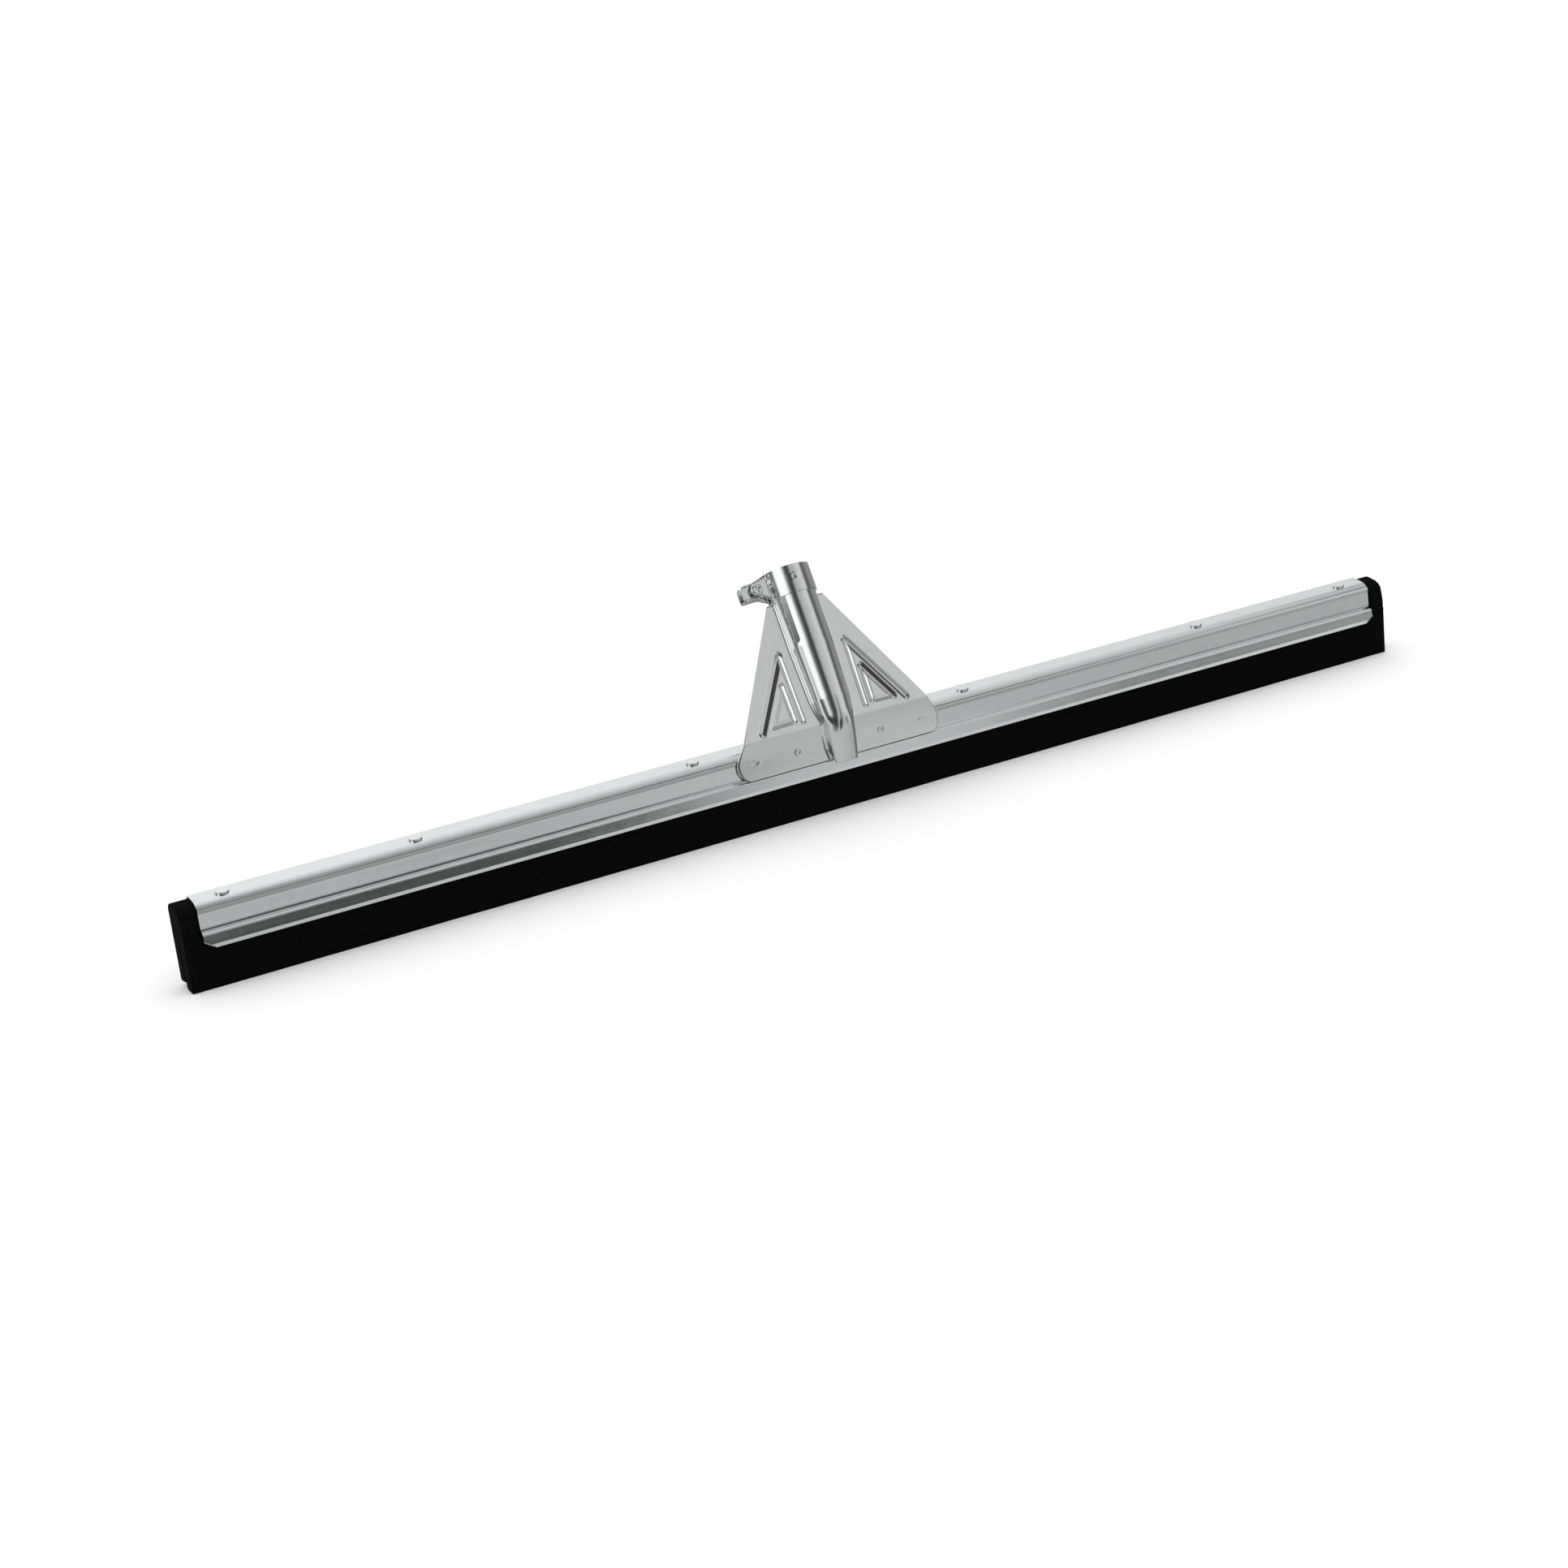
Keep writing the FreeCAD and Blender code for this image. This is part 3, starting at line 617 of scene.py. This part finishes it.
def cross_section(root, rise, wide):
    """x and height over the plate's back face, from the wing edge to the middle, grooves left out."""
    x, h = half_section(root, rise)
    h1 = PLATE_T + FILLET
    x1 = float(np.interp(h1, h, x))
    wall = float(np.interp(PLATE_T, h, x))
    start = wall + FILLET + 0.25
    edge_x = max(wide, start + 2.0)
    fine_x = min(edge_x - 1.2, max(FINE_TO, start + 0.8))
    parts = [
        np.linspace(edge_x, fine_x, EDGE_COLS + 1)[:-1],
        np.linspace(fine_x, start, FINE_COLS),
    ]
    flat_x = np.concatenate(parts)
    wing = np.stack([flat_x, np.full(len(flat_x), PLATE_T)], axis=1)
    f = np.linspace(0, 1, FILLET_COLS + 2)[1:-1]
    bend_x = (1 - f) ** 2 * start + 2 * f * (1 - f) * (wall + 0.05) + f * f * x1
    bend_h = (1 - f * f) * PLATE_T + f * f * h1
    keep_h = h > h1
    curve = np.stack([np.append(x1, x[keep_h]), np.append(h1, h[keep_h])], axis=1)
    run = np.concatenate([[0], np.cumsum(np.linalg.norm(np.diff(curve, axis=0), axis=1))])
    at = np.linspace(0, run[-1], ARC_COLS)
    over = np.stack([np.interp(at, run, curve[:, 0]), np.interp(at, run, curve[:, 1])], axis=1)
    side = np.vstack([wing, np.stack([bend_x, bend_h], axis=1), over])
    return np.vstack([side * np.array([-1, 1]), side[:-1][::-1]])


def socket_frame(point):
    """Distance round the tube from the slot's middle line, and the height up the slope."""
    x, y, z = point
    back = (y - PLATE_BACK) * math.cos(TILT) - (z - BEND_Z) * math.sin(TILT)
    rise = (y - PLATE_BACK) * math.sin(TILT) + (z - BEND_Z) * math.cos(TILT)
    return (math.atan2(x, -back) - SLOT_AZ) * TUBE_R, rise


def slot_gap(q, rise):
    """Signed distance to the slot's outline, negative inside."""
    return math.hypot(q, min(0.0, rise - SLOT_LOW - SLOT_W / 2)) - SLOT_W / 2


def onto_slot(q, rise):
    """The nearest point of the slot's outline."""
    low = SLOT_LOW + SLOT_W / 2
    if rise >= low:
        q_new, rise_new = math.copysign(SLOT_W / 2, q), rise
    else:
        f = SLOT_W / 2 / max(1e-6, math.hypot(q, rise - low))
        q_new, rise_new = q * f, low + (rise - low) * f
    az = SLOT_AZ + q_new / TUBE_R
    y, z = leaned(-TUBE_R * math.cos(az), rise_new)
    return TUBE_R * math.sin(az), y, z


def plate_mesh():
    """The A-shaped pressing, closed between its front and back faces, with the slot cut out."""
    outer = np.zeros((len(row_s), COLUMNS, 3))
    inner = np.zeros((len(row_s), COLUMNS, 3))
    column = np.arange(COLUMNS)
    from_edge = np.minimum(column, COLUMNS - 1 - column)
    raised = np.clip((from_edge - WING_COLS + 1) / (FILLET_COLS + 1), 0, 1)
    for i, (p, nrm, s) in enumerate(zip(plate_line, plate_normal, row_s)):
        wide = half_width(max(p[1], side_z[0])) if s <= WING_TOP_S else 17.0
        back = p - nrm * PLATE_T / 2
        in_foot = max(0.0, WING_LOW_Z + FOOT_KNEE - p[1])
        root = np.array((PLATE_BACK, p[1] - in_foot * NECK_DROP)) if s < 0 else back
        lean = TILT * float(smoothstep(LEAN_FROM_S, LEAN_TO_S, np.array(s)))
        rise = np.array((-math.cos(lean), math.sin(lean)))
        flat = cross_section(root, rise, wide)
        d = np.gradient(flat, axis=0)
        d /= np.linalg.norm(d, axis=1)[:, None]
        face = np.stack([-d[:, 1], d[:, 0]], axis=1)
        push = np.where(raised == 0, pressed(flat[:, 0], s, p[1]), 0.0)
        height = flat[:, 1] - push
        axis_y = nrm[0] * (1 - raised) + rise[0] * raised
        axis_z = nrm[1] * (1 - raised) + rise[1] * raised
        outer[i, :, 0] = flat[:, 0]
        outer[i, :, 1] = back[0] * (1 - raised) + root[0] * raised + axis_y * height
        outer[i, :, 2] = back[1] * (1 - raised) + root[1] * raised + axis_z * height
        inner[i, :, 0] = outer[i, :, 0] - face[:, 0] * PLATE_T
        inner[i, :, 1] = outer[i, :, 1] - face[:, 1] * axis_y * PLATE_T
        inner[i, :, 2] = outer[i, :, 2] - face[:, 1] * axis_z * PLATE_T
    for i, s in enumerate(row_s):
        if s < SLOT_LOW - 2:
            continue
        for k in range(SIDE_COLS, COLUMNS - SIDE_COLS):
            q, rise = socket_frame(outer[i, k])
            if abs(q) < 4 and abs(slot_gap(q, rise)) < 0.25:
                thick = outer[i, k] - inner[i, k]
                outer[i, k] = onto_slot(q, rise)
                inner[i, k] = outer[i, k] - thick
    total = len(row_s) * COLUMNS
    index = np.arange(total).reshape(len(row_s), COLUMNS)
    quads = []
    for i in range(len(row_s) - 1):
        over_wing = row_s[i + 1] <= WING_TOP_S
        first = 0 if over_wing else SIDE_COLS
        last = COLUMNS - 1 if over_wing else COLUMNS - SIDE_COLS - 1
        for k in range(first, last):
            middle = (outer[i, k] + outer[i + 1, k] + outer[i + 1, k + 1] + outer[i, k + 1]) / 4
            if middle[2] > 80 and SIDE_COLS <= k < COLUMNS // 2:
                q, rise = socket_frame(middle)
                if slot_gap(q, rise) < 0:
                    continue
            quads.append((index[i, k], index[i + 1, k], index[i + 1, k + 1], index[i, k + 1]))
    rim = {}
    for quad in quads:
        for a, b in zip(quad, quad[1:] + quad[:1]):
            if rim.pop((b, a), None) is None:
                rim[(a, b)] = True
    faces = list(quads)
    faces += [tuple(v + total for v in quad[::-1]) for quad in quads]
    faces += [(b, a, a + total, b + total) for a, b in rim]
    points = np.vstack([outer.reshape(-1, 3), inner.reshape(-1, 3)])
    used = np.unique(np.array([v for f in faces for v in f]))
    order = {v: j for j, v in enumerate(used.tolist())}
    verts = (points[used] + np.array([0, SECTION_Y, 0])) * MM
    return make("socket_plate", verts.tolist(), [tuple(order[int(v)] for v in f) for f in faces])


plate = plate_mesh()
edges = plate.modifiers.new("soft_edges", "BEVEL")
edges.width = 0.14 * MM
edges.segments = 2
edges.limit_method = "ANGLE"
edges.angle_limit = math.radians(70)
edges.use_clamp_overlap = True
baked(plate, 50.0)
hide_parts("socket_front_plate")
plate.data.materials.append(BRIGHT)

# ------------------------------------------------------------------ clamp collar
COLLAR_LOW = 72.2
COLLAR_T = 0.9
COLLAR_GAP = 0.05
EAR_MID = 2.95  # middle of each ear's sheet, from the clamp's middle plane
EAR_ROOT_R = 1.7
EAR_CORNER_R = 1.6
EAR_END_X = -30.0
EAR_LOW = [(-12.0, 72.2), (-13.6, 72.2), (-18.8, 75.4), (-30.0, 74.8)]
EAR_TOP = [(-12.0, 87.4), (-13.6, 87.4), (-23.5, 84.2), (-30.0, 83.8)]
EAR_RIM = 1.05


def collar_mesh():
    """The band round the tube and its two ears with turned-out rims, as one bent sheet."""
    radius = TUBE_R + COLLAR_GAP + COLLAR_T / 2
    bend = EAR_ROOT_R
    centre = np.array([-math.sqrt((radius + bend) ** 2 - (EAR_MID + bend) ** 2), -EAR_MID - bend])
    turn = math.atan2(-centre[1], -centre[0])
    path = [(x, -EAR_MID) for x in np.linspace(EAR_END_X, centre[0], 34)[:-1]]
    root = np.linspace(math.pi / 2, turn, 12)
    path += [tuple(centre + bend * np.array([math.cos(a), math.sin(a)])) for a in root]
    band = np.linspace(turn, math.pi, 90)[1:]
    path += [(-radius * math.cos(a), -radius * math.sin(a)) for a in band]
    path = np.array(path)
    path = np.vstack([path, (path[:-1] * np.array([1, -1]))[::-1]])
    outward = normals_of(path)
    if outward[len(path) // 2][0] < 0:
        outward = -outward
    low_line = rounded(EAR_LOW, [0, 1.2, 3.0, 0])[::-1]
    top_line = rounded(EAR_TOP, [0, 1.2, 6.0, 0])[::-1]
    rows = 44
    outer = np.zeros((rows + 1, len(path), 3))
    inner = np.zeros((rows + 1, len(path), 3))
    for k, (p, n) in enumerate(zip(path, outward)):
        ear = p[0] < -12.9
        low = float(np.interp(p[0], low_line[:, 0], low_line[:, 1])) if ear else COLLAR_LOW
        top = float(np.interp(p[0], top_line[:, 0], top_line[:, 1])) if ear else TUBE_TOP
        into = max(0.0, EAR_END_X + EAR_CORNER_R - p[0])
        cut = EAR_CORNER_R - math.sqrt(max(0.0, EAR_CORNER_R ** 2 - into ** 2))
        low, top = low + cut, top - cut
        flare = float(smoothstep(-14.2, -16.6, np.array(p[0])))
        flare *= float(smoothstep(-29.6, -27.6, np.array(p[0])))
        az = math.atan2(p[0], -p[1])
        for i in range(rows + 1):
            s = low + (top - low) * (0.5 - 0.5 * math.cos(math.pi * i / rows))
            edge = min(s - low, top - s)
            push = flare * EAR_RIM * float(1 - smoothstep(0.15, 1.5, np.array(edge)))
            if p[0] > -13.5 and p[1] < 0:
                mark = math.hypot((az + 0.14) * radius, s - 80.4)
                dent = 0.32 * math.exp(-(mark / 0.8) ** 2)
                ring = 0.10 * math.exp(-((mark - 1.5) / 0.5) ** 2)
                push -= dent - ring
                near = math.exp(-((az + 1.22) / 0.13) ** 2)
                push -= near * 0.10 * (1 + math.sin(s * 2.1 + 3 * az))
            for grid, depth in ((outer, COLLAR_T / 2), (inner, -COLLAR_T / 2)):
                x, y = p + n * (depth + push)
                yy, zz = leaned(y, s)
                grid[i, k] = (x, yy, zz)
    return slab("collar_band", outer, inner)


def slab(name, outer, inner):
    """A sheet closed between two matching grids of points."""
    rows, columns = outer.shape[:2]
    total = rows * columns
    index = np.arange(total).reshape(rows, columns)
    faces = []
    for i in range(rows - 1):
        for k in range(columns - 1):
            quad = (index[i, k], index[i, k + 1], index[i + 1, k + 1], index[i + 1, k])
            faces.append(tuple(int(v) for v in quad))
            faces.append(tuple(int(v) + total for v in quad[::-1]))
    border = list(index[0]) + list(index[1:, -1])
    border += list(index[-1, :-1][::-1]) + list(index[1:-1, 0][::-1])
    for a, b in zip(border, border[1:] + border[:1]):
        faces.append((int(b), int(a), int(a) + total, int(b) + total))
    points = np.vstack([outer.reshape(-1, 3), inner.reshape(-1, 3)])
    verts = (points + np.array([0, SECTION_Y, 0])) * MM
    return make(name, verts.tolist(), faces)


collar = collar_mesh()
soft = collar.modifiers.new("soft_edges", "BEVEL")
soft.width = 0.13 * MM
soft.segments = 2
soft.limit_method = "ANGLE"
soft.angle_limit = math.radians(70)
baked(collar, 50.0)
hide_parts("clamp_collar")
collar.data.materials.append(BRIGHT)

# ------------------------------------------------------------------ CAD nodes that keep their shape
FINISH = {
    "socket_rear_shell": BRIGHT,
    "rear_strap": BRIGHT,
    "clamp_screw": SCREW,
    "clamp_lock_washer": SCREW,
    "clamp_square_nut": SCREW,
    "backing_bar": PLAIN,
}
for name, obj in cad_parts.items():
    if name.startswith("rivet_washer"):
        finish = PLAIN
    elif name.startswith("rivet_"):
        finish = RIVETS
    elif name in FINISH:
        finish = FINISH[name]
    else:
        continue
    obj.data.materials.clear()
    obj.data.materials.append(finish)

# ------------------------------------------------------------------ studio
WORLD_LIGHT = 1.25
DEGREES = 57.29578

scene = bpy.context.scene
scene.view_settings.view_transform = "Standard"
scene.view_settings.look = "None"

world = bpy.data.worlds.new("studio")
scene.world = world
world.use_nodes = True
world.node_tree.nodes["Background"].inputs["Color"].default_value = (1, 1, 1, 1)
world.node_tree.nodes["Background"].inputs["Strength"].default_value = WORLD_LIGHT


def floor_disc():
    """A wide flat disc at the level of the blade's lower edge."""
    verts = [(0, 0, 0)]
    faces = []
    rings = (0.4, 0.9, 2.0, 5.0, 14.0)
    segments = 64
    for r in rings:
        for k in range(segments):
            a = 2 * math.pi * k / segments
            verts.append((r * math.cos(a), r * math.sin(a), 0.0))
    for k in range(segments):
        faces.append((0, 1 + k, 1 + (k + 1) % segments))
    for j in range(len(rings) - 1):
        for k in range(segments):
            a = 1 + j * segments + k
            b = 1 + j * segments + (k + 1) % segments
            faces.append((a, a + segments, b + segments, b))
    return make("studio_floor", verts, faces, body=None)


floor = floor_disc()
paper = Nodes("studio_paper")
tint = paper.noise(paper.coord, 3.0, 2.0, 0.5)
paper_stops = [(0.3, (0.86, 0.86, 0.86)), (0.7, (0.88, 0.88, 0.88))]
paper.link(paper.ramp(tint, paper_stops), paper.bsdf.inputs["Base Color"])
paper.bsdf.inputs["Roughness"].default_value = 1.0
paper.bsdf.inputs["Specular IOR Level"].default_value = 0.0
floor.data.materials.append(paper.mat)
floor.visible_glossy = False


def surround():
    """The sphere that the metal mirrors: soft boxes and dark flags at set directions round the object."""
    verts = []
    faces = []
    rings = 24
    segments = 48
    radius = 6.0
    for j in range(rings + 1):
        lat = math.pi * (j / rings - 0.5)
        for k in range(segments):
            a = 2 * math.pi * k / segments
            level_r = radius * math.cos(lat)
            verts.append((level_r * math.cos(a), level_r * math.sin(a), radius * math.sin(lat)))
    for j in range(rings):
        for k in range(segments):
            a = j * segments + k
            b = j * segments + (k + 1) % segments
            faces.append((a, b, b + segments, a + segments))
    obj = make("studio_surround", verts, faces, body=None)
    for rays in ("camera", "diffuse", "shadow", "transmission", "volume_scatter"):
        setattr(obj, "visible_" + rays, False)
    return obj


# Brightness by bearing in degrees from straight ahead of the blade (plus is right), for level light.
LEVEL = [
    (-180, 0.95), (-150, 0.80), (-136, 0.72), (-122, 0.78), (-112, 0.40), (-104, 0.20), (-90, 0.18),
    (-84, 1.30), (-49, 1.30), (-41, 0.68), (-32, 0.13), (-14, 0.04), (-8, 0.10), (-2, 0.38), (4, 0.54),
    (26, 0.66), (36, 0.67), (50, 0.80), (60, 0.66), (67, 0.12), (78, 0.14), (95, 0.33), (110, 0.32),
    (130, 0.30), (150, 0.60), (180, 0.95),
]
# The same for light from high up, and for the dark flag that hangs between the two in front.
HIGH = [
    (-180, 0.9), (-100, 0.9), (-84, 0.5), (-74, 0.05), (-6, 0.05), (6, 0.2), (20, 0.32), (40, 0.46),
    (62, 0.6), (90, 0.68), (117, 0.8), (140, 0.9), (158, 1.0), (180, 0.95),
]
FLAG = [(-180, 0.08), (24, 0.08), (46, 0.22), (180, 0.22)]
FLAG_REACH = [(-180, 0), (8, 0), (14, 1), (48, 1), (60, 0), (180, 0)]
# Card behind the object, dark card low on the left, light below the main band and the dark horizon.
BEHIND = [(-180, 1.02), (-125, 1.0), (125, 0.80), (140, 0.87), (160, 1.0), (180, 1.02)]
BEHIND_REACH = [(-180, 1), (-125, 1), (-105, 0), (112, 0), (126, 1), (180, 1)]
LEFT_REACH = [(-180, 0), (-84, 0), (-74, 1), (-10, 1), (0, 0), (180, 0)]
LOW = [(-180, 0.25), (22, 0.25), (24.5, 0.62), (30, 0.62), (33, 0.72), (180, 0.72)]
LOW_REACH = [(-180, 0), (10.8, 0), (12.6, 1), (48, 1), (56, 0), (180, 0)]
HORIZON_REACH = [
    (-180, 0), (5, 0), (8, 1), (21.5, 1), (24, 0), (30, 0), (32, 0.75), (44, 0.45), (52, 0), (180, 0),
]
# A dark strip on the floor to the right of the front, which the hanging lip mirrors near its left end.
STRIP_REACH = [(-180, 0), (5, 0), (8, 1), (19.5, 1), (22.5, 0), (180, 0)]
# Brightness of the floor by how steeply the ray goes down, and its share of that by bearing.
FLOOR = [
    (-90, 0.30), (-48, 0.20), (-37, 0.28), (-31, 0.45), (-25, 0.53), (-12, 0.59), (0, 0.59), (90, 0.59),
]
FLOOR_SHARE = [
    (-180, 1.07), (21, 1.07), (27, 1), (34, 0.85), (54, 0.85), (70, 0.32), (118, 0.32), (140, 1), (180, 1.07),
]

dome = surround()
card = Nodes("studio_light_cards")
card.mat.cycles.emission_sampling = "NONE"
place = card.add("ShaderNodeNewGeometry").outputs["Position"]
unit = card.add("ShaderNodeVectorMath", operation="NORMALIZE")
card.link(place, unit.inputs[0])
axes = card.add("ShaderNodeSeparateXYZ")
card.link(unit.outputs[0], axes.inputs[0])
forward = card.math("MULTIPLY", axes.outputs[1], -1.0)
bearing = card.math("MULTIPLY", card.math("ARCTAN2", axes.outputs[0], forward), DEGREES)
rise = card.math("MULTIPLY", card.math("ARCSINE", axes.outputs[2], 0.0), DEGREES)


def by_angle(angle, stops):
    """A table of (degrees, value up to 2) read at an angle."""
    low, high = stops[0][0], stops[-1][0]
    place = card.fit(angle, low, high, 0.0, 1.0)
    grey = card.ramp(place, [((d - low) / (high - low), (v / 2,) * 3) for d, v in stops])
    return card.math("MULTIPLY", grey, 2.0)


def eased(angle, low, high):
    """0 below low and 1 above high, with an eased run between."""
    node = card.add("ShaderNodeMapRange", interpolation_type="SMOOTHSTEP")
    node.inputs["From Min"].default_value = low
    node.inputs["From Max"].default_value = high
    card.link(angle, node.inputs["Value"])
    return node.outputs["Result"]


def between(angle, low, high, soft):
    """1 from low to high, fading over soft degrees to each side of both."""
    inside = card.math("SUBTRACT", 1.0, eased(angle, high - soft, high + soft))
    return card.math("MULTIPLY", eased(angle, low - soft, low + soft), inside)


def blend(factor, a, b):
    """a where the factor is 0, b where it is 1."""
    node = card.add("ShaderNodeMix", data_type="FLOAT")
    card.link(factor, node.inputs[0])
    for socket, value in ((node.inputs[2], a), (node.inputs[3], b)):
        if isinstance(value, float):
            socket.default_value = value
        else:
            card.link(value, socket)
    return node.outputs[0]


def patch(under, reach, rise_part, light):
    """Lays a light or a flag over the brightness so far."""
    return blend(card.math("MULTIPLY", by_angle(bearing, reach), rise_part), under, light)


level = blend(eased(rise, 44, 53), by_angle(bearing, LEVEL), by_angle(bearing, HIGH))
level = patch(level, FLAG_REACH, between(rise, 42.5, 52, 1.5), by_angle(bearing, FLAG))
level = patch(level, LEFT_REACH, between(rise, -8, 15, 3.0), 0.05)
level = patch(level, LOW_REACH, between(rise, 5, 27, 3.0), by_angle(bearing, LOW))
level = patch(level, HORIZON_REACH, between(rise, -9, 6, 2.5), 0.07)
level = patch(level, BEHIND_REACH, eased(rise, 6, 18), by_angle(bearing, BEHIND))
ground = card.math("MULTIPLY", by_angle(rise, FLOOR), by_angle(bearing, FLOOR_SHARE))
level = blend(eased(rise, -11, -5), ground, level)
level = patch(level, STRIP_REACH, between(rise, -13.0, -6.5, 1.2), 0.03)
glow = card.add("ShaderNodeEmission")
card.link(level, glow.inputs["Strength"])
output = card.tree.nodes["Material Output"]
card.tree.nodes.remove(card.bsdf)
card.link(glow.outputs[0], output.inputs["Surface"])
dome.data.materials.append(card.mat)

# ------------------------------------------------------------------ camera
# Place and direction come from a fit to edges in the photo at this lens. The lens is given, not fitted: the
# fit is nearly as good from 67 to 78 mm.
camera_data = bpy.data.cameras.new("camera")
camera = bpy.data.objects.new("camera", camera_data)
scene.collection.objects.link(camera)
camera.location = Vector((-723.22677, -1379.2134, 543.915)) * MM
ahead = Vector((0.4229979928, 0.8473644429, -0.3210080981))
right = Vector((0.8723056382, -0.4766886113, -0.1088615698))
up = right.cross(ahead)
basis = np.array([right, up, -ahead]).T
camera.rotation_mode = "QUATERNION"
camera.rotation_quaternion = Matrix(basis.tolist()).to_quaternion()
camera_data.sensor_width = 36.0
camera_data.lens = 68.944
camera_data.dof.use_dof = False
camera_data.clip_end = 100.0
scene.camera = camera
